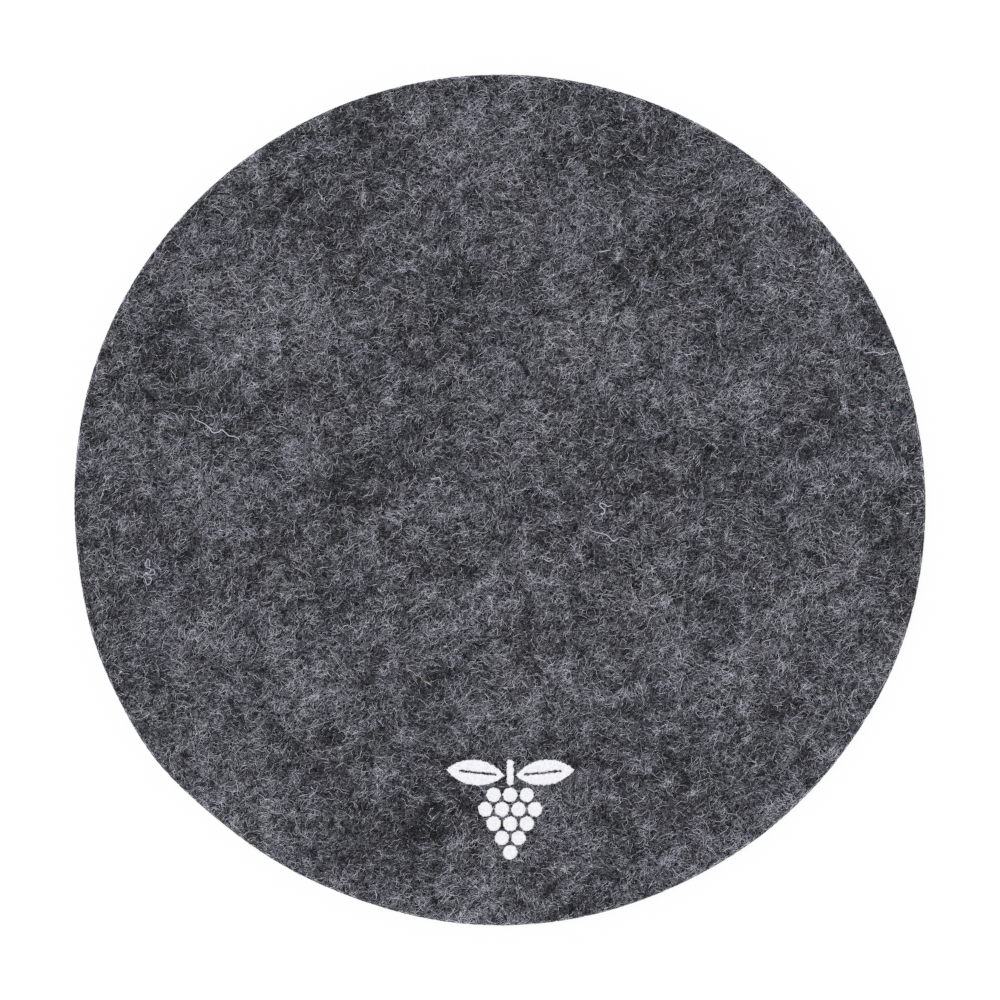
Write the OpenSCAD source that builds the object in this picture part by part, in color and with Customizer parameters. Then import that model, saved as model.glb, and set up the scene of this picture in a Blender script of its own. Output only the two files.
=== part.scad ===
// Round felt coaster for a wine bottle, with a small white print pressed flush into its upper face.
// Millimetres, +Z up. The origin is the middle of the face that rests on the table, and the print
// lies towards -Y.

/* [Felt disc] */
// Diameter of the disc
disc_d = 100; // [80:1:150]
// Thickness of the felt
felt_t = 3; // [2:0.1:6]
// Radius of the upper edge, which the cutting die rolls over
upper_edge_r = 0.5; // [0.1:0.05:0.9]
// Radius of the lower edge
lower_edge_r = 0.2; // [0.1:0.05:0.9]

/* [Print] */
// Thickness of the ink film
ink_t = 0.1; // [0.06:0.01:0.3]
// Distance from the lowest point of the print to the rim of the disc
print_margin = 7.8; // [2:0.1:15]
// Distance of the print to the right of the disc's middle
print_shift = 1.2; // [-6:0.1:6]
// Bare felt between neighbouring patches of ink
patch_gap = 0.25; // [0.15:0.05:0.6]

/* [Grapes] */
// Diameter of one grape
grape_d = 1.7; // [1:0.05:2.4]

/* [Leaves] */
// Length of a leaf from its base to its tip
leaf_l = 6.9; // [4:0.1:9]
// Width of a leaf across its middle
leaf_w = 3; // [1.6:0.1:3.8]
// Angle by which a leaf rises from its base to its tip, in degrees
leaf_rise = 6; // [0:1:15]
// Width of the bare vein along the middle of a leaf
vein_w = 0.25; // [0.15:0.05:0.5]

/* [Stem] */
// Width of the stem, which has round ends
stem_w = 0.8; // [0.5:0.05:1.5]

/* [Hidden] */
$fn = 96;

// Grapes in each row of the bunch, from the lowest row up
row_counts = [1, 2, 3, 4, 3];
// Start and end of the vein along a leaf
vein_start_share = 0.14;
vein_end_share = 0.78;
// Play between the edge of a patch of ink and the pocket that it lies in
ink_play = 0.02;
// Length by which a cut runs past the face that it opens
overrun = 1;

disc_r = disc_d / 2;
// The rows nest in each other, so they are closer than the grapes in a row
grape_pitch = grape_d + patch_gap;
row_pitch = grape_pitch * sin(60);
bunch_h = (len(row_counts) - 1) * row_pitch + grape_d;
// A leaf is the overlap of two circles, whose centres lie this far to either side of its vein
leaf_arc_r = (leaf_l * leaf_l + leaf_w * leaf_w) / (4 * leaf_w);
leaf_arc_offset = leaf_arc_r - leaf_w / 2;
// How far the tilted leaf reaches below and above its base
leaf_drop = max(0, leaf_arc_r - leaf_arc_offset * cos(leaf_rise) - leaf_l / 2 * sin(leaf_rise));
leaf_top = leaf_arc_r - leaf_arc_offset * cos(leaf_rise) + leaf_l / 2 * sin(leaf_rise);
leaf_base_x = stem_w / 2 + patch_gap;
leaf_base_y = bunch_h + patch_gap + leaf_drop;
stem_base_y = bunch_h + patch_gap;
stem_l = leaf_base_y + leaf_top - stem_base_y;

// Outlines of the print, drawn up from its lowest point and wider by grow on every side

module grapes_outline(grow = 0) {
    for (row = [0 : len(row_counts) - 1]) {
        row_w = (row_counts[row] - 1) * grape_pitch;
        for (i = [0 : row_counts[row] - 1]) {
            translate([i * grape_pitch - row_w / 2, grape_d / 2 + row * row_pitch])
                circle(d = grape_d + 2 * grow);
        }
    }
}

module leaf_outline(grow = 0) {
    difference() {
        intersection_for (side = [-1, 1]) {
            translate([leaf_l / 2, side * leaf_arc_offset]) circle(r = leaf_arc_r + grow);
        }
        translate([vein_start_share * leaf_l + grow, grow - vein_w / 2])
            square([(vein_end_share - vein_start_share) * leaf_l - 2 * grow, vein_w - 2 * grow]);
    }
}

module right_leaf_outline(grow = 0) {
    translate([leaf_base_x, leaf_base_y]) rotate(leaf_rise) leaf_outline(grow);
}

module left_leaf_outline(grow = 0) {
    mirror([1, 0]) right_leaf_outline(grow);
}

module stem_outline(grow = 0) {
    stem_r = stem_w / 2;
    translate([-stem_r - grow, stem_base_y + stem_r])
        square([stem_w + 2 * grow, stem_l - stem_w]);
    for (y = [stem_base_y + stem_r, stem_base_y + stem_l - stem_r]) {
        translate([0, y]) circle(r = stem_r + grow);
    }
}

// Sets the print on the floor of its pockets
module at_print() {
    translate([print_shift, print_margin - disc_r, felt_t - ink_t]) children();
}

module ink_patch() {
    color("white") at_print() linear_extrude(ink_t) children();
}

// Half section of the disc, with its two rounded edges
module disc_profile() {
    square([disc_r - upper_edge_r, felt_t]);
    square([disc_r - lower_edge_r, felt_t - upper_edge_r]);
    translate([0, lower_edge_r]) square([disc_r, felt_t - upper_edge_r - lower_edge_r]);
    translate([disc_r - upper_edge_r, felt_t - upper_edge_r]) circle(r = upper_edge_r);
    translate([disc_r - lower_edge_r, lower_edge_r]) circle(r = lower_edge_r);
}

module felt_disc() {
    color("dimgray") difference() {
        rotate_extrude() disc_profile();
        at_print() linear_extrude(ink_t + overrun) {
            grapes_outline(ink_play);
            left_leaf_outline(ink_play);
            right_leaf_outline(ink_play);
            stem_outline(ink_play);
        }
    }
}

module printed_grapes() {
    ink_patch() grapes_outline();
}

module printed_left_leaf() {
    ink_patch() left_leaf_outline();
}

module printed_right_leaf() {
    ink_patch() right_leaf_outline();
}

module printed_stem() {
    ink_patch() stem_outline();
}

felt_disc();
printed_grapes();
printed_left_leaf();
printed_right_leaf();
printed_stem();
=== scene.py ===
"""A round coaster of grey melange needled felt, with a small white print, lying on a white floor.

The felt is a body of matted felt under a web of real fibres, and the print is a set of thin patches of
ink with ragged edges. Lengths are metres, in the frame of the CAD model: +Z up, the origin in the middle
of the face that rests on the floor, the print towards -Y.
"""

import math

import bpy
import numpy as np
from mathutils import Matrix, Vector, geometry


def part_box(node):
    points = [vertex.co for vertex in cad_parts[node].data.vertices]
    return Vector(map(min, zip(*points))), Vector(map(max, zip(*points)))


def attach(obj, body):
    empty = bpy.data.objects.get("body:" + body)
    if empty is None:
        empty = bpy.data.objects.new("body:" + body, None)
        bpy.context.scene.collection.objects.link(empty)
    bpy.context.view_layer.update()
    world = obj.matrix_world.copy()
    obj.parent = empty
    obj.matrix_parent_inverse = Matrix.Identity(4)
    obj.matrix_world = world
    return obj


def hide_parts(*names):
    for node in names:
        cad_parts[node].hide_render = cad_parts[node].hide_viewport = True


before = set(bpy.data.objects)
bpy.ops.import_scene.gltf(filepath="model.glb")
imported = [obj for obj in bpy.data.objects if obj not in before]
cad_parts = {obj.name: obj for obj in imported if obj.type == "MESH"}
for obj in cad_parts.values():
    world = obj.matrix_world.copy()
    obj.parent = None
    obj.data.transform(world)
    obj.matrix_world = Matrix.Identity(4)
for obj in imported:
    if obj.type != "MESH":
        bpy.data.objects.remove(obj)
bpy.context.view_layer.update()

MM = 0.001
TAU = 2 * math.pi
SEED = 20
# Middle of the range of a noise texture
NOISE_MIDDLE = 0.5

# The disc, from the CAD model
LOW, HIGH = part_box("felt_disc")
DISC_R = (HIGH.x - LOW.x) / 2
FACE_Z = HIGH.z
UPPER_EDGE_R = 0.5 * MM
LOWER_EDGE_R = 0.2 * MM
# Where the cut disc isn't quite round: direction in degrees, height and half width in degrees
RIM_BUMPS = [
    (216.5, 0.64 * MM, 9),
    (201, 0.49 * MM, 10),
    (340, 0.21 * MM, 14),
    (160, 0.18 * MM, 13),
    (137, 0.07 * MM, 18),
    (12, -0.09 * MM, 9),
    (295, -0.16 * MM, 12),
    (250, -0.19 * MM, 10),
]

# The matted body lies this far under the envelope of its fibres, and its wall this far inside it
WEB_DEPTH = 0.14 * MM
WALL_DEPTH = 0.1 * MM
# Its mesh: rings of triangles on a face, each with one more point in every sector, and rows in the wall
BODY_RINGS = 118
RING_SECTORS = 6
WALL_ROWS = 12
# Its lumps: height on the upper face, share of that on the lower face, and height on the wall, where they
# are flatter by a factor
FACE_RELIEF = 0.03 * MM
UNDER_RELIEF_SHARE = 0.5
WALL_RELIEF = 0.04 * MM
WALL_RELIEF_FLATTER = 3
# Its colours from the gaps to the strands, its tone, and how strongly it is mottled
BODY_SHADES = [(0.0, (9, 9, 11)), (0.6, (147, 147, 159)), (1.0, (193, 194, 208))]
BODY_TONE = 0.57
BODY_MOTTLE = 0.133
# Its strands: layers of noise, each drawn out in a direction of its own and moved on from the last
STRAND_LAYERS = 6
STRAND_STRETCH = 3.5
STRAND_SPACING = 0.45 * MM
STRAND_SHIFT = (0.37, 0.21, 0)
# A strand's width in the noise, how sharp its edges are, its height, and how much it fades across the lean
# of the web
STRAND_WIDTH = 0.021
STRAND_EDGE = 1.5
STRAND_HEIGHT = 0.05 * MM
STRAND_LEAN = 0.16
# A strand is faded by the layer this many before its own: gain and offset
FADING_LAYER = 3
FADE_GAIN = 4.0
FADE_OFFSET = -1.4
# The square that its colours are baked into: middle and radius of each face, and the strips of the wall
UPPER_MAP = ((0.38, 0.61), 0.37)
LOWER_MAP = ((0.87, 0.87), 0.11)
WALL_STRIPS = 4
STRIP_BASE = 0.01
STRIP_PITCH = 0.055
STRIP_HEIGHT = 0.045

# Fibres: tubes of this many sides with this many points along them, their radius and their length
FIBRE_SIDES = 3
FIBRE_POINTS = 6
FIBRE_R = 0.026 * MM
FIBRE_R_SHARES = (0.8, 1.2)
FIBRE_LENGTH = (0.8 * MM, 2.1 * MM)
# A small share of the fibres are longer than the others, and the longest of them are paler too
LONG_SHARE = 0.03
LONG_GAIN = 1.7
LONG_PALE = 0.13
# Crimp of a fibre: how far its heading swings, in radians, and over what length, and how both vary
CRIMP = ((0.35, 2.4 * MM), (0.75, 0.95 * MM))
SWING_SHARES = (0.2, 1)
WAVE_SHARES = (0.75, 1.35)
# Bend of a fibre as a whole: its spread in radians per millimetre, and the millimetre along the fibre at
# which the bend is nil
BEND = 0.65
UNBENT_AT = 0.7
# The root of x**3 = x + 1, whose powers step evenly through the plane
EVEN_ROOT = 1.3247179572
# The web leans slightly towards one direction, and a share of it runs along local drifts: how far a drift
# turns, and how closely the fibres follow it, in radians
WEB_LEAN = math.radians(26)
DRIFT_TURN = 0.5
DRIFT_SHARE = 0.55
DRIFT_SPREAD = 0.45
# Fibres lie up to this far outside the rim, so that the web reaches it, and are cut this far inside it
OVERREACH = 0.8 * MM
RIM_CLEAR = 0.03 * MM
# On the wall a share of the fibres run along it, within a spread in radians, and all stay between its ends
WALL_ALONG_SHARE = 0.65
WALL_ALONG_SPREAD = 0.4
WALL_CLEAR = 0.06 * MM
# Levels in the web, as shares of its depth: the lowest fibre's, the lowest that a fibre sinks to, and how
# far a fibre rises and sinks along its length, in how many turns
LOW_LEVEL = 0.1
SUNK_LEVEL = 0.05
SWELL = 0.2
SWELL_TURNS = (1, 3)
# A fibre comes out of the mat, and dives back into it, within one part in this many of its length
END_PARTS = 5

# Layers of mixed fibres on the upper face, the lower face and the wall, and the fibres in a layer
WEB_LAYERS = 15
UNDER_LAYERS = 3
WALL_LAYERS = 3
LAYER_FIBRES = 6200
# Shade of a fibre from 0, the darkest, to 1, and how it varies from fibre to fibre, with the mottling, with
# depth as painted shade, and along the fibre, there also by noise of so many cells per metre
FIBRE_SHADES = [
    (0.0, (10, 10, 12)),
    (0.475, (79, 79, 86)),
    (0.9, (221, 222, 237)),
    (1.0, (246, 247, 255)),
]
SHADE_MEAN = 0.492
SHADE_SPREAD = 0.31
SHADE_SKEW = 0.06
SHADE_MOTTLE = 0.089
DEPTH_PAINTED_SHADE = 0.21
SHADE_ALONG = 0.25
SHADE_UNEVEN = 0.17
UNEVEN_CELLS = 1500
# Mottling: shares of its fine and its broad patches, and how much more pale places stand out than dark ones
MOTTLE_FINE = 0.69
MOTTLE_BROAD = 0.72
MOTTLE_SKEW = 0.05
# Small pale tufts lie where their own relief is above a level
TUFT_LEVEL = 1
TUFT_GAIN = 1.8
# Painted light: the felt is painted slightly paler towards its rolled edge, where the rounding catches the
# light
RIM_PAINTED_LIGHT = 0.16
RIM_PAINTED_LIGHT_REACH = 0.45 * MM
# The mixed dyes differ slightly in hue: how strongly, and over what distance
HUE_UNEVEN = 0.07
HUE_DISTANCE = 6 * MM
# The cell of a tube in the square that its colours are baked into: margin and size of what it holds, height
# of its sides, middle and reach of its first end, and the way from there to the other end
CELL_MARGIN = 0.06
CELL_SIZE = 0.88
SKIN_HEIGHT = 0.8
CAP_MIDDLE = (0.22, 0.91)
CAP_REACH = (0.2, 0.09)
CAP_SHIFT = (0.55, 0)

# Fibres that lie loose on the upper face: radius, height of their upper side over the face, mesh, share of
# the radius that is left at their ends, and how soon they rise, as one part in so many of their length
LOOSE_R = 0.056 * MM
LOOSE_RISE = 0.045 * MM
LOOSE_SIDES = 6
LOOSE_POINTS = 48
LOOSE_END_SHARE = 0.7
LOOSE_END_PARTS = 20
# Pale loose fibres: shades at the start and the end, and path in millimetres
LOOSE_FIBRES = [
    (0.8, 0.92, [(-36.3, 10.2), (-36.05, 9.75), (-35.7, 9.4), (-34.7, 8.95), (-34.15, 8.5), (-33.75, 7.95),
        (-33.4, 7.9), (-32.95, 8), (-32.7, 8.25), (-32.25, 7.95), (-31.8, 7.55), (-31.25, 7.45),
        (-30.75, 7.25), (-30.55, 6.95)]),
    (0.8, 0.8, [(-41.15, -7.9), (-41.1, -7.35), (-41.15, -7.05), (-41.3, -6.95), (-41.45, -7.15),
        (-41.55, -7.8), (-41.3, -7.95), (-41.05, -8.05), (-40.95, -8.25), (-41.05, -8.45), (-41.25, -8.6),
        (-41.45, -8.6), (-41.65, -8.45)]),
    (0.79, 0.79, [(-41, -8.15), (-40.75, -8.1), (-40.55, -8.35), (-40.5, -8.6), (-40.7, -8.75),
        (-41.05, -8.8), (-41.4, -8.7), (-41.7, -8.8), (-42.1, -9.15)]),
    (0.77, 0.77, [(-41.15, -9), (-40.9, -9.2), (-40.95, -9.55), (-41.1, -9.85), (-41.35, -9.95),
        (-41.5, -9.75), (-41.65, -9.2), (-41.8, -9.05)]),
    (0.89, 0.89, [(13.25, -0.6), (12.65, -0.75), (12.4, -0.6), (11.9, -0.35), (11.75, -0.45),
        (11.7, -0.65), (11.9, -0.85), (12.15, -1.05), (12.3, -1.25), (12.25, -1.5), (12.1, -1.6),
        (11.75, -1.6)]),
    (0.7, 0.94, [(10.3, -3.05), (10.8, -3.6), (11.15, -3.75), (12, -3.95), (12.35, -4.05), (12.7, -4.25),
        (13, -4.55), (13.15, -4.75), (13.4, -4.8), (13.9, -4.5)]),
    (0.84, 0.89, [(-8.15, 2.45), (-7.75, 2.55), (-7.1, 2.6), (-7, 2.4)]),
    (0.7, 0.61, [(-8.1, 2.35), (-7.75, 2.4), (-7.1, 2.45)]),
    (0.78, 0.69, [(-7.05, 2.45), (-6.85, 1.95), (-7, 1.75), (-7.15, 1.6)]),
    (0.83, 0.83, [(5.15, -6.9), (5.45, -7.1), (5.8, -7.2), (6.05, -7.05), (6.35, -7.05)]),
    (0.76, 0.76, [(-27, 24.15), (-27.45, 23.85), (-27.6, 23.7), (-27.6, 23.45), (-27.25, 22.85),
        (-27.1, 22.5), (-27.15, 22.25), (-27.4, 22.1), (-27.7, 22), (-28, 22), (-28.25, 22.15),
        (-28.55, 22.6)]),
    (0.75, 0.75, [(-27.05, 25.3), (-26.5, 24.75)]),
    (0.74, 0.74, [(-29.45, 24.45), (-28.45, 25.05)]),
    (0.78, 0.78, [(38.75, 16.15), (39.1, 16.1), (39.4, 16.3), (39.85, 16.5)]),
    (0.74, 0.74, [(37.7, 16.25), (38.2, 16.35)]),
    (0.8, 0.8, [(42.7, 17.25), (43.15, 17.25), (43.6, 17.35), (44.05, 17.35), (44.5, 17.2), (44.8, 17.05),
        (45.25, 17.2), (45.8, 17.35), (46.45, 17.35)]),
    (0.86, 0.86, [(11.6, 29.1), (12, 29.15), (13, 29.35)]),
    (0.78, 0.82, [(3.15, -8.85), (3.05, -8.55), (3.15, -8.3), (3.4, -8.3), (3.55, -8.5), (3.45, -8.8),
        (3.15, -8.9)]),
    (0.82, 0.82, [(46.55, 12.05), (46.55, 11.6)]),
]
# Ends of fibres that show as pale dots, which are short tubes: length and places in millimetres
DOT_LENGTH = 0.22
DOT_R = 0.1 * MM
DOT_SHADE = 0.87
PALE_DOTS = [(-44.5, -20.2), (41.5, -25.3), (30.3, 27.4), (29.8, -10.4), (-41.5, -8.6), (47.8, -1.6)]
# Single tinted fibres in the mix: radius, sRGB colour, and path in millimetres
TINTED_FIBRES = [
    (0.12 * MM, (64, 82, 103), [(46.55, 11.4), (46.4, 11.05), (46.3, 10.7), (46.5, 10.4), (46.7, 10.2),
        (46.95, 9.9)]),
    (0.17 * MM, (76, 90, 112), [(47.75, 10.5), (47.8, 10.25), (48, 10)]),
    (0.11 * MM, (80, 90, 106), [(48.4, 10.6), (48.5, 10.25)]),
    (0.1 * MM, (106, 82, 90), [(-14.5, -14.45), (-14.15, -14.4)]),
    (0.1 * MM, (120, 104, 94), [(-8.75, -20.45), (-9.05, -20.95), (-9, -21.15), (-8.9, -21.3)]),
    (0.1 * MM, (160, 147, 144), [(-8.95, -21.25), (-8.4, -21.5), (-8.1, -21.7)]),
]
# How a tinted fibre's colour varies along it: gains at two shares of its noise, of so many cells per metre
TINT_GAINS = ((0.35, 0.8), (0.65, 1.15))
TINT_CELLS = 3000

# The film of ink: thickness, steps along its edges, grid of its points, and their clearance from the edges
INK_T = 0.1 * MM
INK_STEP = 0.06 * MM
INK_GRID = 0.16 * MM
INK_CLEAR = 0.6 * INK_GRID
# How far its edges creep along the fibres, how far it sinks between them, within limits of its relief, and
# how much more its edges sink
INK_CREEP = 0.035 * MM
INK_SINK = 0.012 * MM
INK_SINK_LIMITS = (-1, 2)
INK_EDGE_SINK = 0.02 * MM
# Its shades, and the size of its grain in cells per metre and in height
INK_SHADES = [(0.3, (228, 228, 233)), (0.55, (247, 247, 250))]
INK_CELLS = 4500
INK_GRAIN = 0.03 * MM
# The pieces of ink, and the nodes that they stand for
PRINT_NODES = {
    "ink_grapes": "printed_grapes",
    "ink_left_leaf": "printed_left_leaf",
    "ink_right_leaf": "printed_right_leaf",
    "ink_stem": "printed_stem",
}
# A triangle is in a node's upper face if its normal points up at least so far and it lies so near the top
FACING_UP = 0.9
FLAT_WITHIN = 0.01 * MM
# In millimetres: decimals that tell a node's points apart, and the distance at which points are merged
POINT_DECIMALS = 4
MERGE_WITHIN = 1e-5

# The stage: strengths of the room and the lamp, size and tilt of the lamp, and half size, depth under the
# part and glow of the floor
WHITE = (1, 1, 1, 1)
ROOM_LIGHT = 0.4
LAMP_LIGHT = 0.6 * math.pi
LAMP_SIZE = math.radians(30)
LAMP_TILT = math.radians(-6)
FLOOR_HALF = 1.5
FLOOR_DROP = 0.1 * MM
FLOOR_GLOW = 0.9
# The camera: lens and sensor in millimetres, the nearest distance that it sees, and the share of the
# picture's width that the disc fills
LENS = 100
SENSOR_WIDTH = 36
NEAREST_SEEN = 10 * MM
DISC_SHARE = 0.8511


def linear(colour):
    """An sRGB colour of 0 to 255 as a linear colour that covers fully."""
    share = np.asarray(colour, float) / 255
    low = share / 12.92
    high = ((share + 0.055) / 1.055) ** 2.4
    return (*np.where(share <= 0.04045, low, high), 1.0)


class Waves:
    """Smooth random relief over the plane, of mean 0 and spread 1: a sum of waves in random directions."""

    def __init__(self, rng, count, shortest, longest):
        length = np.exp(rng.uniform(math.log(shortest), math.log(longest), count))
        heading = rng.uniform(0, TAU, count)
        self.x_rate = TAU / length * np.cos(heading)
        self.y_rate = TAU / length * np.sin(heading)
        self.phase = rng.uniform(0, TAU, count)
        self.gain = math.sqrt(2 / count)

    def __call__(self, x, y):
        total = np.zeros(np.shape(x))
        for x_rate, y_rate, phase in zip(self.x_rate, self.y_rate, self.phase):
            total += np.cos(x_rate * x + y_rate * y + phase)
        return self.gain * total


# Reliefs of the felt and the ink, which are drawn in this order
rng = np.random.default_rng(SEED)
mottle_fine = Waves(rng, count=60, shortest=2.5 * MM, longest=8 * MM)
mottle_broad = Waves(rng, count=40, shortest=9 * MM, longest=40 * MM)
body_relief = Waves(rng, count=60, shortest=0.9 * MM, longest=3 * MM)
drift = Waves(rng, count=40, shortest=5 * MM, longest=16 * MM)
ink_edge = Waves(rng, count=50, shortest=0.2 * MM, longest=0.8 * MM)
ink_relief = Waves(rng, count=50, shortest=0.5 * MM, longest=2 * MM)
tufts = Waves(rng, count=60, shortest=1.2 * MM, longest=3 * MM)


def mottle(x, y):
    """Where pale fibres gather (above 0) and where they thin out (below 0)."""
    fine = mottle_fine(x, y)
    fine = fine + MOTTLE_SKEW * (fine**2 - 1)
    tuft = np.maximum(tufts(x, y) - TUFT_LEVEL, 0)
    return MOTTLE_FINE * fine + MOTTLE_BROAD * mottle_broad(x, y) + TUFT_GAIN * tuft


def rim_radius(angle):
    """Radius of the cut edge in a direction."""
    radius = np.full(np.shape(angle), DISC_R)
    for direction, height, width in RIM_BUMPS:
        off = (np.degrees(angle) - direction + 180) % 360 - 180
        radius = radius + height * np.exp(-((off / width) ** 2))
    return radius


def rounding(distance, edge_r):
    """How far a rounded edge falls back, at a distance in from where it would be sharp."""
    over = np.clip(1 - distance / edge_r, 0, 1)
    return edge_r * (1 - np.sqrt(1 - over**2))


def rim_inset(x, y):
    """Distance of points in the plane from the rim."""
    return rim_radius(np.arctan2(y, x)) - np.hypot(x, y)


def rim_painted_light(x, y):
    """Painted light: how much paler the felt is painted close to its rim, whose rounding catches light."""
    return RIM_PAINTED_LIGHT * np.exp(-np.maximum(rim_inset(x, y), 0) / RIM_PAINTED_LIGHT_REACH)


def wall_fall(z):
    """How far the wall lies inside the rim at a height, because of its rounded edges."""
    return rounding(FACE_Z - z, UPPER_EDGE_R) + rounding(z, LOWER_EDGE_R)


def add_piece(name, mesh, material, *, replaces=()):
    """Adds a mesh as a piece that rides with the part."""
    piece = bpy.data.objects.new(name, mesh)
    bpy.context.scene.collection.objects.link(piece)
    piece.data.materials.append(material)
    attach(piece, "root")
    if replaces:
        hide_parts(*replaces)
    return piece


def mesh_from(name, points, corners, sizes, smooth=True):
    """A mesh from points, a flat list of face corners and the number of corners of each face."""
    mesh = bpy.data.meshes.new(name)
    starts = np.concatenate([[0], np.cumsum(sizes)[:-1]])
    mesh.vertices.add(len(points))
    mesh.vertices.foreach_set("co", np.asarray(points, np.float32).ravel())
    mesh.loops.add(len(corners))
    mesh.loops.foreach_set("vertex_index", np.asarray(corners, np.int32))
    mesh.polygons.add(len(sizes))
    mesh.polygons.foreach_set("loop_start", starts.astype(np.int32))
    mesh.polygons.foreach_set("use_smooth", np.broadcast_to(smooth, len(sizes)).copy())
    mesh.update(calc_edges=True)
    return mesh


def set_shades(mesh, shades):
    """Gives each point of a mesh its shade."""
    attribute = mesh.attributes.new("shade", "FLOAT", "POINT")
    attribute.data.foreach_set("value", np.asarray(shades, np.float32))


def set_map(mesh, places):
    """Gives each face corner its place in the square that the mesh's colours are baked into."""
    layer = mesh.uv_layers.new(name="OFBake")
    layer.data.foreach_set("uv", np.asarray(places, np.float32).ravel())


# Materials


def new_material(name):
    """A material and its node tree, with its Principled shader."""
    material = bpy.data.materials.new(name)
    material.use_nodes = True
    tree = material.node_tree
    return material, tree, tree.nodes["Principled BSDF"]


def math_node(tree, operation, *values, clamp=False):
    """Output of a math node whose inputs are numbers or other outputs."""
    node = tree.nodes.new("ShaderNodeMath")
    node.operation = operation
    node.use_clamp = clamp
    for socket, value in zip(node.inputs, values):
        if isinstance(value, (int, float)):
            socket.default_value = value
        else:
            tree.links.new(value, socket)
    return node.outputs[0]


def noise_node(tree, scale, detail, vector=None, output="Fac"):
    """Output of a noise texture over the object, or over another vector."""
    noise = tree.nodes.new("ShaderNodeTexNoise")
    noise.inputs["Scale"].default_value = scale
    noise.inputs["Detail"].default_value = detail
    if vector is None:
        vector = tree.nodes.new("ShaderNodeTexCoord").outputs["Object"]
    tree.links.new(vector, noise.inputs["Vector"])
    return noise.outputs[output]


def shade_node(tree):
    """Output of the shade that the mesh's points carry, painted light and painted shade included."""
    shade = tree.nodes.new("ShaderNodeAttribute")
    shade.attribute_name = "shade"
    return shade.outputs["Fac"]


def uneven_hue(tree, colour):
    """A colour whose hue wanders slightly over the object, as mixed dyes do."""
    noise = noise_node(tree, 1 / HUE_DISTANCE, detail=3, output="Color")
    mix = tree.nodes.new("ShaderNodeMixRGB")
    mix.blend_type = "OVERLAY"
    mix.inputs["Fac"].default_value = HUE_UNEVEN
    tree.links.new(colour, mix.inputs["Color1"])
    tree.links.new(noise, mix.inputs["Color2"])
    return mix.outputs["Color"]


def colour_by(tree, shader, value, shades, uneven=False):
    """Colours a shader by a value, along a ramp of sRGB shades, with a hue that may be uneven."""
    ramp = tree.nodes.new("ShaderNodeValToRGB")
    stops = ramp.color_ramp.elements
    while len(stops) < len(shades):
        stops.new(0.5)
    for stop, (share, colour) in zip(stops, shades):
        stop.position = share
        stop.color = linear(colour)
    tree.links.new(value, ramp.inputs["Fac"])
    colour = uneven_hue(tree, ramp.outputs["Color"]) if uneven else ramp.outputs["Color"]
    tree.links.new(colour, shader.inputs["Base Color"])


def bump_by(tree, shader, value, *, strength, height):
    """Bumps a shader by a value."""
    bump = tree.nodes.new("ShaderNodeBump")
    bump.inputs["Strength"].default_value = strength
    bump.inputs["Distance"].default_value = height
    tree.links.new(value, bump.inputs["Height"])
    tree.links.new(bump.outputs["Normal"], shader.inputs["Normal"])


def finish_of(shader, *, roughness, specular):
    """Sets how rough and how shiny a shader is."""
    shader.inputs["Roughness"].default_value = roughness
    shader.inputs["Specular IOR Level"].default_value = specular


def fibre_material():
    """Dyed polyester fibre: each fibre's own shade varies a little along it, and holds painted light and
    shade.
    """
    material, tree, shader = new_material("melange_fibre")
    uneven = math_node(tree, "SUBTRACT", noise_node(tree, UNEVEN_CELLS, detail=1), NOISE_MIDDLE)
    value = math_node(tree, "MULTIPLY_ADD", uneven, SHADE_UNEVEN, shade_node(tree))
    colour_by(tree, shader, value, FIBRE_SHADES, uneven=True)
    finish_of(shader, roughness=0.6, specular=0.25)
    return material


def tinted_material(name, colour):
    """A fibre of another dye, paler and darker along its length."""
    material, tree, shader = new_material(name)
    shades = [(share, tuple(gain * part for part in colour)) for share, gain in TINT_GAINS]
    colour_by(tree, shader, noise_node(tree, TINT_CELLS, detail=1), shades)
    finish_of(shader, roughness=0.6, specular=0.25)
    return material


def strand_heading(layer):
    """Direction of a layer of strands."""
    return WEB_LEAN + math.pi * (layer + 0.5) / STRAND_LAYERS


def strand_noise(tree, layer):
    """Noise drawn out along the direction of one layer of strands."""
    turn = tree.nodes.new("ShaderNodeMapping")
    turn.vector_type = "TEXTURE"
    turn.inputs["Rotation"].default_value = (0, 0, strand_heading(layer))
    turn.inputs["Scale"].default_value = (STRAND_STRETCH, 1, 1)
    turn.inputs["Location"].default_value = [layer * shift for shift in STRAND_SHIFT]
    place = tree.nodes.new("ShaderNodeTexCoord")
    tree.links.new(place.outputs["Object"], turn.inputs["Vector"])
    return noise_node(tree, 1 / STRAND_SPACING, detail=2, vector=turn.outputs["Vector"])


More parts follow.
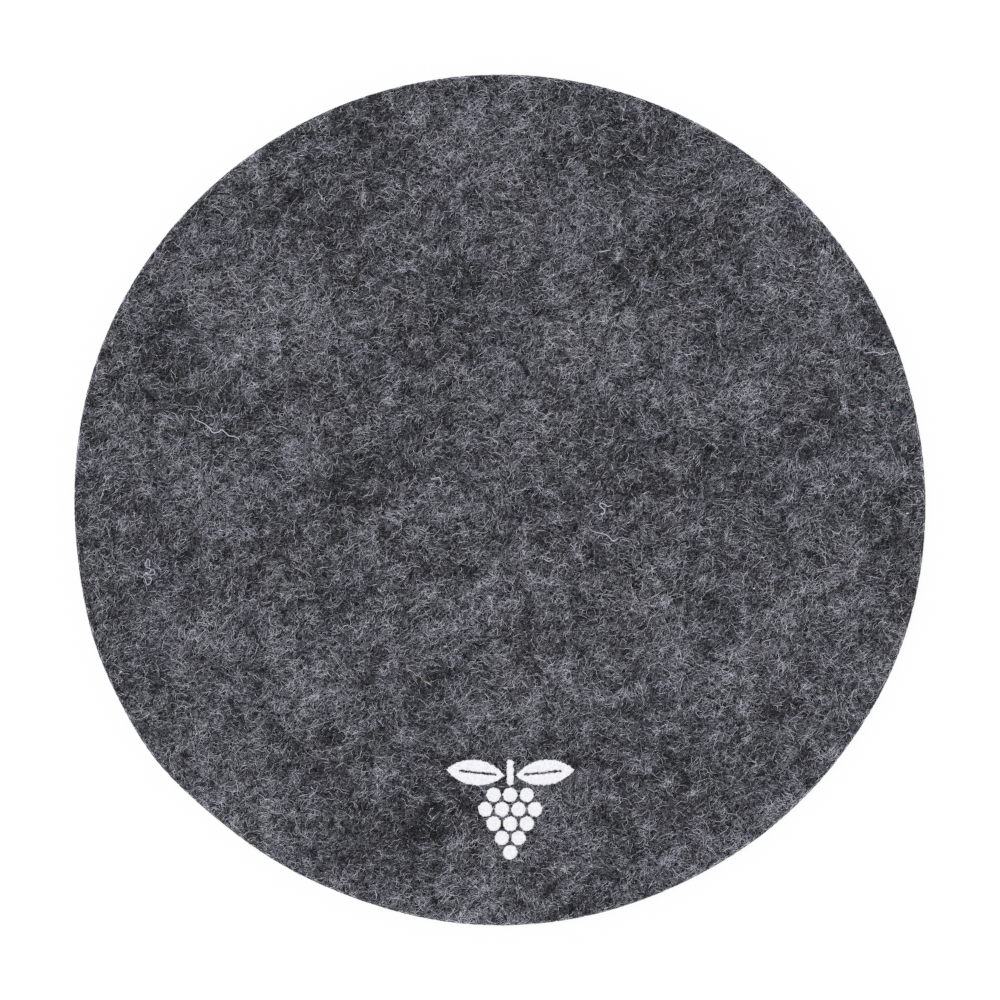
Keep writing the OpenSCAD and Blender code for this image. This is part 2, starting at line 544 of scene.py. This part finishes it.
def body_material():
    """Matted felt under the web: winding strands in all directions over dark gaps, mottled as the web is,
    with painted light near the rim.

    A strand lies where a layer of noise crosses its middle, and another layer fades it in and out.
    """
    material, tree, shader = new_material("matted_felt")
    layers = [strand_noise(tree, layer) for layer in range(STRAND_LAYERS)]
    strands = 0.0
    for layer, noise in enumerate(layers):
        off = math_node(tree, "ABSOLUTE", math_node(tree, "SUBTRACT", noise, NOISE_MIDDLE))
        line = math_node(tree, "MULTIPLY_ADD", off, -STRAND_EDGE / STRAND_WIDTH, STRAND_EDGE, clamp=True)
        fading = layers[layer - FADING_LAYER]
        shown = math_node(tree, "MULTIPLY_ADD", fading, FADE_GAIN, FADE_OFFSET, clamp=True)
        strength = 1 - STRAND_LEAN * (1 - math.cos(2 * (strand_heading(layer) - WEB_LEAN)))
        strand = math_node(tree, "MULTIPLY", line, math_node(tree, "MULTIPLY", shown, strength))
        strands = math_node(tree, "MAXIMUM", strands, strand)
    tone = math_node(tree, "MULTIPLY", strands, shade_node(tree))
    colour_by(tree, shader, tone, BODY_SHADES, uneven=True)
    bump_by(tree, shader, strands, strength=0.6, height=STRAND_HEIGHT)
    finish_of(shader, roughness=0.9, specular=0.15)
    return material


def ink_material():
    """White screen ink: matte, with a faint grain where it sinks between the fibres."""
    material, tree, shader = new_material("white_ink")
    grain = noise_node(tree, INK_CELLS, detail=3)
    colour_by(tree, shader, grain, INK_SHADES)
    bump_by(tree, shader, grain, strength=0.35, height=INK_GRAIN)
    finish_of(shader, roughness=0.75, specular=0.2)
    return material


# The matted body of the felt


def ring_faces(ring, first_inner, first_outer):
    """Triangles between a ring with so many points in a sector and the next ring, which has one more."""
    inner_count = max(RING_SECTORS * ring, 1)
    outer_count = RING_SECTORS * (ring + 1)
    faces = []
    for sector in range(RING_SECTORS):
        for step in range(ring + 1):
            inner = first_inner + (sector * ring + step) % inner_count
            outer = first_outer + (sector * (ring + 1) + step) % outer_count
            outer_next = first_outer + (sector * (ring + 1) + step + 1) % outer_count
            faces.append((inner, outer, outer_next))
            if step < ring:
                inner_next = first_inner + (sector * ring + step + 1) % inner_count
                faces.append((inner, outer_next, inner_next))
    return faces


def disc_plan():
    """Points of a flat disc in rings, its triangles, and the points of its outer ring."""
    flat_share = 1 - UPPER_EDGE_R / DISC_R
    rings = [np.zeros((1, 2))]
    first = [0]
    faces = []
    for ring in range(1, BODY_RINGS + 1):
        count = RING_SECTORS * ring
        turn = np.arange(count) / count * TAU
        reach = rim_radius(turn) * flat_share * ring / BODY_RINGS
        first.append(first[-1] + len(rings[-1]))
        rings.append(np.stack([reach * np.cos(turn), reach * np.sin(turn)], 1))
        faces += ring_faces(ring - 1, first[ring - 1], first[ring])
    plan = np.concatenate(rings)
    return plan, np.array(faces), np.arange(first[BODY_RINGS], len(plan))


def wall_row(angles, z):
    """One row of points around the wall of the body."""
    height = np.full(len(angles), z)
    ripple = WALL_RELIEF * body_relief(angles * DISC_R, WALL_RELIEF_FLATTER * height)
    reach = rim_radius(angles) - WALL_DEPTH - wall_fall(z) + ripple
    return np.column_stack([reach * np.cos(angles), reach * np.sin(angles), height])


def map_triangles(*corners):
    """Triangles in the square, from the two coordinates of each of their corners."""
    return np.stack([np.stack(corner, 1) for corner in corners], 1)


def body_map(plan, faces, columns):
    """Places of the body's corners in its square: a large upper face, a small lower one, wall strips."""
    unit = plan / np.abs(plan).max()
    (upper_middle, upper_r), (lower_middle, lower_r) = UPPER_MAP, LOWER_MAP
    upper = upper_middle + upper_r * unit[faces]
    lower = lower_middle + lower_r * unit[faces[:, ::-1]]
    part = columns // WALL_STRIPS
    column = np.arange(columns)
    left = column % part / part
    right = left + 1 / part
    base = STRIP_BASE + column // part * STRIP_PITCH
    rows = WALL_ROWS + 1
    wall = []
    for row in range(rows):
        high = base + STRIP_HEIGHT * (1 - row / rows)
        low = base + STRIP_HEIGHT * (1 - (row + 1) / rows)
        wall.append(map_triangles((left, high), (left, low), (right, low)))
        wall.append(map_triangles((left, high), (right, low), (right, high)))
    return np.concatenate([upper, lower, *wall]).reshape(-1, 2)


def felt_body():
    """Closed body of the felt: two faces of even triangles, joined by a wall with rounded edges."""
    plan, faces, rim = disc_plan()
    count, columns = len(plan), len(rim)
    relief = FACE_RELIEF * body_relief(*plan.T)
    upper = np.column_stack([plan, FACE_Z - WEB_DEPTH + relief])
    lower = np.column_stack([plan, WEB_DEPTH - UNDER_RELIEF_SHARE * relief])
    angles = np.arange(columns) / columns * TAU
    share = np.cos(math.pi * np.arange(1, WALL_ROWS + 1) / (WALL_ROWS + 1))
    heights = FACE_Z / 2 + (FACE_Z / 2 - WEB_DEPTH) * share
    points = np.concatenate([upper, lower, *[wall_row(angles, z) for z in heights]])
    wall = 2 * count + np.arange(WALL_ROWS * columns).reshape(WALL_ROWS, columns)
    rows = [rim, *wall, rim + count]
    triangles = [faces, faces[:, ::-1] + count]
    for above, below in zip(rows, rows[1:]):
        triangles.append(np.stack([above, below, np.roll(below, -1)], 1))
        triangles.append(np.stack([above, np.roll(below, -1), np.roll(above, -1)], 1))
    triangles = np.concatenate(triangles)
    mesh = mesh_from("felt_body", points, triangles.ravel(), np.full(len(triangles), 3))
    x, y = points[:, :2].T
    # The body's tone: its mottling, and painted light near the rim
    set_shades(mesh, np.clip(BODY_TONE + BODY_MOTTLE * mottle(x, y) + rim_painted_light(x, y), 0, 1))
    set_map(mesh, body_map(plan, faces, columns))
    return add_piece("felt_body", mesh, body_material(), replaces=["felt_disc"])


# The print


def node_loops(node):
    """Outlines of a node's upper face, as lists of points in order, one list per loop."""
    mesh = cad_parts[node].data
    top = max(vertex.co.z for vertex in mesh.vertices)
    places = [tuple(round(part / MM, POINT_DECIMALS) for part in vertex.co.xy) for vertex in mesh.vertices]
    edges = set()
    for face in mesh.polygons:
        if face.normal.z > FACING_UP and abs(face.center.z - top) < FLAT_WITHIN:
            ring = [places[index] for index in face.vertices]
            edges.update(zip(ring, ring[1:] + ring[:1]))
    border = {a: b for a, b in sorted(edges) if (b, a) not in edges}
    loops = []
    while border:
        here = next(iter(border))
        loop = []
        while here in border:
            loop.append(here)
            here = border.pop(here)
        loops.append(np.array(loop) * MM)
    return loops


def ragged(loop):
    """An outline at even steps, whose points creep in and out as ink does along fibres."""
    closed = np.vstack([loop, loop[:1]])
    reach = np.concatenate([[0], np.hypot(*np.diff(closed, axis=0).T).cumsum()])
    at = np.linspace(0, reach[-1], round(reach[-1] / INK_STEP), endpoint=False)
    points = np.stack([np.interp(at, reach, closed[:, axis]) for axis in range(2)], 1)
    along = np.roll(points, -1, 0) - np.roll(points, 1, 0)
    outward = np.stack([along[:, 1], -along[:, 0]], 1) / np.linalg.norm(along, axis=1)[:, None]
    return points + outward * (INK_CREEP * ink_edge(*points.T))[:, None]


# The outlines of each patch of ink
ink_loops = {name: [ragged(loop) for loop in node_loops(node)] for name, node in PRINT_NODES.items()}


def inside(points, loops):
    """Which points lie inside a set of outlines with holes."""
    within = np.zeros(len(points), bool)
    x, y = points.T
    for loop in loops:
        for (x0, y0), (x1, y1) in zip(loop, np.roll(loop, -1, 0)):
            if y0 == y1:
                continue
            crossed = (y0 > y) != (y1 > y)
            within ^= crossed & (x < x0 + (y - y0) * (x1 - x0) / (y1 - y0))
    return within


def under_print(x, y):
    """Which points of the plane lie under the ink."""
    points = np.stack([x.ravel(), y.ravel()], 1)
    border = np.concatenate([loop for loops in ink_loops.values() for loop in loops])
    near = ((points > border.min(0)) & (points < border.max(0))).all(1)
    covered = np.zeros(len(points), bool)
    for loops in ink_loops.values():
        covered[near] |= inside(points[near], loops)
    return covered.reshape(x.shape)


def ink_plan(loops):
    """Points and triangles of a flat patch of ink within its outlines."""
    border = np.concatenate(loops)
    low, high = border.min(0), border.max(0)
    x, y = np.meshgrid(np.arange(low[0], high[0], INK_GRID), np.arange(low[1], high[1], INK_GRID))
    grid = np.stack([x.ravel(), y.ravel()], 1)
    grid = grid[inside(grid, loops)]
    clear = np.array([np.hypot(*(border - point).T).min() > INK_CLEAR for point in grid], bool)
    plan = np.concatenate([border, grid[clear]])
    edges = []
    for loop in loops:
        first = len(edges)
        edges += [(first + i, first + (i + 1) % len(loop)) for i in range(len(loop))]
    made = geometry.delaunay_2d_cdt([(px / MM, py / MM) for px, py in plan], edges, [], 0, MERGE_WITHIN)
    plan = np.array(made[0]) * MM
    faces = np.array([face for face in made[2] if len(face) == 3])
    return plan, faces[inside(plan[faces].mean(1), loops)]


def open_edges(faces):
    """Edges that only one triangle has, in that triangle's direction."""
    directed = {(a, b) for face in faces.tolist() for a, b in zip(face, face[1:] + face[:1])}
    return np.array(sorted((a, b) for a, b in directed if (b, a) not in directed))


def ink_patch(name, material):
    """The ink of one node: a thin film with ragged edges, which sinks slightly between the fibres."""
    plan, faces = ink_plan(ink_loops[name])
    rim = open_edges(faces)
    count = len(plan)
    film = FACE_Z - INK_SINK * (1 + np.clip(ink_relief(*plan.T), *INK_SINK_LIMITS))
    film[np.unique(rim)] -= INK_EDGE_SINK
    upper = np.column_stack([plan, film])
    lower = np.column_stack([plan, np.full(count, FACE_Z - INK_T)])
    walls = np.stack([rim[:, 0], rim[:, 0] + count, rim[:, 1] + count, rim[:, 1]], 1)
    corners = np.concatenate([faces.ravel(), (faces[:, ::-1] + count).ravel(), walls.ravel()])
    sizes = np.concatenate([np.full(2 * len(faces), 3), np.full(len(walls), 4)])
    smooth = np.arange(len(sizes)) < 2 * len(faces)
    mesh = mesh_from(name, np.concatenate([upper, lower]), corners, sizes, smooth)
    return add_piece(name, mesh, material, replaces=[PRINT_NODES[name]])


# Fibres


def cell_map(count, along, sides):
    """Places of the corners of tubes: each tube's cell has its sides in rows, under its two ends."""
    cells = math.ceil(math.sqrt(count))
    cell = np.stack([np.arange(count) % cells, np.arange(count) // cells], 1)
    step, row = np.meshgrid(np.arange(along - 1), np.arange(sides), indexing="ij")
    left, right = step / (along - 1), (step + 1) / (along - 1)
    low, high = SKIN_HEIGHT * row / sides, SKIN_HEIGHT * (row + 1) / sides
    corners = ((left, low), (left, high), (right, high), (right, low))
    skin = np.stack([np.stack(corner, 2) for corner in corners], 2).reshape(-1, 2)
    turn = np.arange(sides) / sides * TAU
    cap = CAP_MIDDLE + np.stack([np.cos(turn), np.sin(turn)], 1) * CAP_REACH
    placed = [cell[:, None, :] + CELL_MARGIN + CELL_SIZE * shape for shape in (skin, cap, cap + CAP_SHIFT)]
    return np.concatenate([part.reshape(-1, 2) for part in placed]) / cells


def tubes(name, paths, radii, guide, shades, sides=FIBRE_SIDES):
    """Closed tubes along paths of shape (count, points, 3), with a shade at each of their points."""
    count, along, _ = paths.shape
    tangent = np.gradient(paths, axis=1)
    tangent /= np.linalg.norm(tangent, axis=2, keepdims=True)
    side = np.cross(tangent, guide)
    side /= np.linalg.norm(side, axis=2, keepdims=True)
    up = np.cross(side, tangent)
    around = math.pi / 2 + np.arange(sides) / sides * TAU
    ring = side[:, :, None, :] * np.cos(around)[:, None] + up[:, :, None, :] * np.sin(around)[:, None]
    points = paths[:, :, None, :] + ring * radii[:, :, None, None]
    index = np.arange(count * along * sides).reshape(count, along, sides)
    turned = np.roll(index, -1, axis=2)
    quads = np.stack([index[:, :-1], turned[:, :-1], turned[:, 1:], index[:, 1:]], 3).reshape(-1, 4)
    ends = np.concatenate([index[:, 0, ::-1], index[:, -1]])
    corners = np.concatenate([quads.ravel(), ends.ravel()])
    sizes = np.concatenate([np.full(len(quads), 4), np.full(len(ends), sides)])
    mesh = mesh_from(name, points.reshape(-1, 3), corners, sizes)
    set_shades(mesh, np.repeat(shades.ravel(), sides))
    set_map(mesh, cell_map(count, along, sides))
    return mesh


def even_spread(first, count):
    """Pairs of numbers from 0 to 1 that fill the unit square evenly, from a place in their sequence on."""
    return (np.arange(first, first + count)[:, None] * EVEN_ROOT ** -np.arange(1.0, 3.0)) % 1


def fibre_plan(rng, middle, heading, length):
    """Crimped paths in the plane, of shape (count, points, 2), about their middles."""
    count = len(middle)
    along = np.linspace(0, 1, FIBRE_POINTS)[None, :] * length[:, None]
    turn = heading[:, None] + rng.normal(0, BEND, (count, 1)) * (along / MM - UNBENT_AT)
    for swing, wave in CRIMP:
        size = rng.uniform(*SWING_SHARES, (count, 1)) * swing
        wave = wave * rng.uniform(*WAVE_SHARES, (count, 1))
        turn = turn + size * np.sin(TAU * along / wave + rng.uniform(0, TAU, (count, 1)))
    step = length[:, None] / (FIBRE_POINTS - 1)
    path = np.stack([np.cos(turn) * step, np.sin(turn) * step], 2).cumsum(1)
    path -= path.mean(1, keepdims=True)
    return path + middle[:, None, :]


def fibre_lengths(rng):
    """Lengths of one layer's fibres."""
    gain = np.where(rng.uniform(0, 1, LAYER_FIBRES) < LONG_SHARE, LONG_GAIN, 1.0)
    return gain * rng.uniform(*FIBRE_LENGTH, LAYER_FIBRES)


def fibre_levels(rng, height):
    """Levels of a fibre's points in the web, from 0 at the mat to 1: they rise out of it and dive back."""
    count = len(height)
    along = np.linspace(0, 1, FIBRE_POINTS)[None, :]
    rise = np.minimum(1, END_PARTS * np.minimum(along, 1 - along))
    turns = rng.uniform(*SWELL_TURNS, (count, 1))
    swell = SWELL * np.sin(TAU * (along * turns + rng.uniform(0, 1, (count, 1))))
    return np.clip(LOW_LEVEL + (1 - LOW_LEVEL) * height[:, None] + swell, SUNK_LEVEL, 1.0) * rise


def fibre_radii(rng, count):
    """Radius of each fibre, the same along its length."""
    return FIBRE_R * rng.uniform(*FIBRE_R_SHARES, (count, 1)) * np.ones((1, FIBRE_POINTS))


def fibre_shades(rng, height, x, y):
    """Shades of a fibre's points: from its place, its place in the mix, and painted shade low in the web.
    """
    mix = rng.normal(0, 1, (len(height), 1))
    shades = SHADE_MEAN + SHADE_SPREAD * (mix + SHADE_SKEW * (mix**2 - 1))
    shades = shades + SHADE_ALONG * rng.normal(0, 1, x.shape)
    length = np.hypot(np.diff(x), np.diff(y)).sum(1, keepdims=True)
    shades = shades + LONG_PALE * (length > FIBRE_LENGTH[1])
    # Lower fibres are painted darker: painted shade for the web above them
    return np.clip(shades + SHADE_MOTTLE * mottle(x, y) + DEPTH_PAINTED_SHADE * (height[:, None] - 1), 0, 1)


def within_rim(plan):
    """Cuts each path at the rim, and leaves out those that hardly reach inside it."""
    inside_rim = rim_inset(plan[..., 0], plan[..., 1]) > RIM_CLEAR
    share = np.linspace(0, 1, FIBRE_POINTS)
    kept = inside_rim.all(1)
    for number in np.flatnonzero(~kept):
        path, good = plan[number], inside_rim[number]
        if not good[0]:
            path, good = path[::-1], good[::-1]
        last = FIBRE_POINTS if good.all() else int(np.argmin(good))
        if last >= 2:
            at = share * share[last - 1]
            plan[number] = np.stack([np.interp(at, share, path[:, axis]) for axis in range(2)], 1)
            kept[number] = True
    return plan[kept]


def face_fibres(rng, layer):
    """Paths in the plane of one layer of fibres over the disc: part along the drifts, the others anyhow."""
    reach, turn = even_spread(layer * LAYER_FIBRES, LAYER_FIBRES).T
    reach = (DISC_R + OVERREACH) * np.sqrt(reach)
    middle = np.stack([reach * np.cos(TAU * turn), reach * np.sin(TAU * turn)], 1)
    along_drift = WEB_LEAN + DRIFT_TURN * drift(*middle.T) + rng.normal(0, DRIFT_SPREAD, LAYER_FIBRES)
    anyhow = rng.uniform(0, TAU, LAYER_FIBRES)
    heading = np.where(rng.uniform(0, 1, LAYER_FIBRES) < DRIFT_SHARE, along_drift, anyhow)
    return within_rim(fibre_plan(rng, middle, heading, fibre_lengths(rng)))


def web_layer(name, material, rng, layer, layers, edge_r, *, upper):
    """One layer of the web on the upper or the lower face."""
    plan = face_fibres(rng, layer)
    x, y = plan[..., 0], plan[..., 1]
    height = (layer + rng.uniform(0, 1, len(plan))) / layers
    radii = fibre_radii(rng, len(plan))
    below = WEB_DEPTH * (1 - fibre_levels(rng, height)) + radii
    if upper:
        below = np.where(under_print(x, y), np.maximum(below, INK_T + radii), below)
    below = below + rounding(rim_inset(x, y), edge_r)
    z = FACE_Z - below if upper else below
    paths = np.stack([x, y, z], 2)
    guide = np.broadcast_to((0.0, 0.0, 1.0 if upper else -1.0), paths.shape)
    # Painted light near the rim, where the rounded edge catches it
    shades = np.clip(fibre_shades(rng, height, x, y) + rim_painted_light(x, y), 0, 1)
    return add_piece(name, tubes(name, paths, radii, guide, shades), material)


def turned_back(values, low, high):
    """Values that run past a limit turn back inside it."""
    return high - np.abs(high - low - np.abs(values - low))


def wall_layer(name, material, rng, layer, layers):
    """One layer of fibres on the cut wall: most run along it, and needles have drawn some up and down."""
    along, up = even_spread(layer * LAYER_FIBRES, LAYER_FIBRES).T
    middle = np.stack([TAU * DISC_R * along, FACE_Z * up], 1)
    along_wall = rng.normal(0, WALL_ALONG_SPREAD, LAYER_FIBRES)
    anyhow = rng.uniform(0, TAU, LAYER_FIBRES)
    heading = np.where(rng.uniform(0, 1, LAYER_FIBRES) < WALL_ALONG_SHARE, along_wall, anyhow)
    plan = fibre_plan(rng, middle, heading, fibre_lengths(rng))
    angle = plan[..., 0] / DISC_R
    z = turned_back(plan[..., 1], WALL_CLEAR, FACE_Z - WALL_CLEAR)
    height = (layer + rng.uniform(0, 1, LAYER_FIBRES)) / layers
    radii = fibre_radii(rng, LAYER_FIBRES)
    reach = rim_radius(angle) - wall_fall(z) - WALL_DEPTH * (1 - fibre_levels(rng, height)) - radii
    paths = np.stack([reach * np.cos(angle), reach * np.sin(angle), z], 2)
    guide = np.stack([np.cos(angle), np.sin(angle), np.zeros_like(angle)], 2)
    shades = fibre_shades(rng, height, paths[..., 0], paths[..., 1])
    return add_piece(name, tubes(name, paths, radii, guide, shades), material)


def smooth_path(points, count):
    """Points at even shares along a smooth curve through a few points."""
    points = np.asarray(points, float)
    ends = np.vstack([2 * points[0] - points[1], points, 2 * points[-1] - points[-2]])
    at = np.linspace(0, len(points) - 1, count)
    span = np.minimum(at.astype(int), len(points) - 2)
    share = (at - span)[:, None]
    before, here, there, after = (ends[span + step] for step in range(4))
    bend = 2 * before - 5 * here + 4 * there - after
    twist = 3 * (here - there) + after - before
    return here + 0.5 * share * (there - before + share * (bend + share * twist))


def laid_fibres(name, plans, radius, material, shades):
    """Fibres that lie on the web, as a piece. Their ends are thinner and dive into it."""
    plan = np.array([smooth_path(points, LOOSE_POINTS) for points in plans]) * MM
    along = np.linspace(0, 1, LOOSE_POINTS)
    rise = np.minimum(1, LOOSE_END_PARTS * np.minimum(along, 1 - along))
    z = np.broadcast_to(FACE_Z + LOOSE_RISE - radius + (rise - 1) * 2 * radius, plan.shape[:2])
    paths = np.concatenate([plan, z[..., None]], 2)
    swell = LOOSE_END_SHARE + (1 - LOOSE_END_SHARE) * np.sin(math.pi * along)
    radii = np.broadcast_to(radius * swell, plan.shape[:2])
    guide = np.broadcast_to((0.0, 0.0, 1.0), paths.shape)
    shades = np.array([np.linspace(first, last, LOOSE_POINTS) for first, last in shades])
    mesh = tubes(name, paths, radii, guide, shades, LOOSE_SIDES)
    return add_piece(name, mesh, material)


def loose_fibres(material):
    """Loose pale fibres, pale dots and tinted fibres on the upper face."""
    dots = [[(x - DOT_LENGTH / 2, y), (x + DOT_LENGTH / 2, y + DOT_LENGTH / 4)] for x, y in PALE_DOTS]
    shades = [(first, last) for first, last, path in LOOSE_FIBRES]
    paths = [path for first, last, path in LOOSE_FIBRES]
    pieces = [
        laid_fibres("loose_fibres", paths, LOOSE_R, material, shades),
        laid_fibres("pale_dots", dots, DOT_R, material, [(DOT_SHADE, DOT_SHADE)] * len(dots)),
    ]
    for number, (radius, colour, path) in enumerate(TINTED_FIBRES, 1):
        name = f"tinted_fibre_{number}"
        pieces.append(laid_fibres(name, [path], radius, tinted_material(name, colour), [(1.0, 1.0)]))
    return pieces


# The stage


def seen_directly(tree):
    """Output that is 1 for rays from the camera, and for reflections and refractions of the background."""
    path = tree.nodes.new("ShaderNodeLightPath").outputs
    mirrored = math_node(tree, "MAXIMUM", path["Is Glossy Ray"], path["Is Transmission Ray"])
    return math_node(tree, "MAXIMUM", path["Is Camera Ray"], mirrored)


def mix_in(tree, share, first, second, output):
    """Shows a mix of two shaders."""
    mix = tree.nodes.new("ShaderNodeMixShader")
    tree.links.new(share, mix.inputs["Fac"])
    tree.links.new(first, mix.inputs[1])
    tree.links.new(second, mix.inputs[2])
    tree.links.new(mix.outputs[0], tree.nodes[output].inputs["Surface"])


def light_room():
    """Soft plain light: a white room that looks white, and a broad lamp nearly overhead."""
    scene = bpy.context.scene
    scene.world = bpy.data.worlds.new("soft_room")
    scene.world.use_nodes = True
    tree = scene.world.node_tree
    lit = tree.nodes["Background"]
    lit.inputs["Color"].default_value = WHITE
    lit.inputs["Strength"].default_value = ROOM_LIGHT
    shown = tree.nodes.new("ShaderNodeBackground")
    shown.inputs["Color"].default_value = WHITE
    mix_in(tree, seen_directly(tree), lit.outputs[0], shown.outputs[0], "World Output")
    lamp = bpy.data.lights.new("overhead_light", "SUN")
    lamp.energy = LAMP_LIGHT
    lamp.angle = LAMP_SIZE
    holder = bpy.data.objects.new("overhead_light", lamp)
    holder.rotation_euler = (LAMP_TILT, LAMP_TILT, 0)
    scene.collection.objects.link(holder)


def white_floor():
    """Floor that looks nearly white by itself, and keeps a faint shadow."""
    half = FLOOR_HALF
    corners = [(-half, -half, 0), (half, -half, 0), (half, half, 0), (-half, half, 0)]
    mesh = bpy.data.meshes.new("floor")
    mesh.from_pydata(corners, [], [(0, 1, 2, 3)])
    material, tree, shader = new_material("white_floor")
    shader.inputs["Base Color"].default_value = WHITE
    finish_of(shader, roughness=0.9, specular=0.0)
    glow = tree.nodes.new("ShaderNodeEmission")
    glow.inputs["Color"].default_value = WHITE
    share = math_node(tree, "MULTIPLY", seen_directly(tree), FLOOR_GLOW)
    mix_in(tree, share, shader.outputs[0], glow.outputs[0], "Material Output")
    mesh.materials.append(material)
    floor = bpy.data.objects.new("floor", mesh)
    floor.location.z = -FLOOR_DROP
    bpy.context.scene.collection.objects.link(floor)


def top_camera():
    """Camera straight over the disc, as far up as the disc's share of the picture needs."""
    camera = bpy.data.objects.new("camera", bpy.data.cameras.new("camera"))
    camera.data.lens = LENS
    camera.data.sensor_width = SENSOR_WIDTH
    camera.data.clip_start = NEAREST_SEEN
    shown_width = 2 * DISC_R / DISC_SHARE
    rim_z = FACE_Z - UPPER_EDGE_R
    camera.location.z = rim_z + shown_width * camera.data.lens / camera.data.sensor_width
    bpy.context.scene.collection.objects.link(camera)
    bpy.context.scene.camera = camera


bpy.context.scene.view_settings.view_transform = "Standard"
# A denoiser would smear fibres that are thinner than a pixel
bpy.context.scene.cycles.use_denoising = False
light_room()
white_floor()
top_camera()

ink = ink_material()
for name in PRINT_NODES:
    ink_patch(name, ink)

body = felt_body()
fibre = fibre_material()
hair = []
for layer in range(WEB_LAYERS):
    name = f"felt_web_{layer + 1:02d}"
    hair.append(web_layer(name, fibre, rng, layer, WEB_LAYERS, UPPER_EDGE_R, upper=True))
for layer in range(UNDER_LAYERS):
    name = f"felt_under_{layer + 1:02d}"
    hair.append(web_layer(name, fibre, rng, layer, UNDER_LAYERS, LOWER_EDGE_R, upper=False))
for layer in range(WALL_LAYERS):
    name = f"felt_wall_{layer + 1:02d}"
    hair.append(wall_layer(name, fibre, rng, layer, WALL_LAYERS))
hair += loose_fibres(fibre)
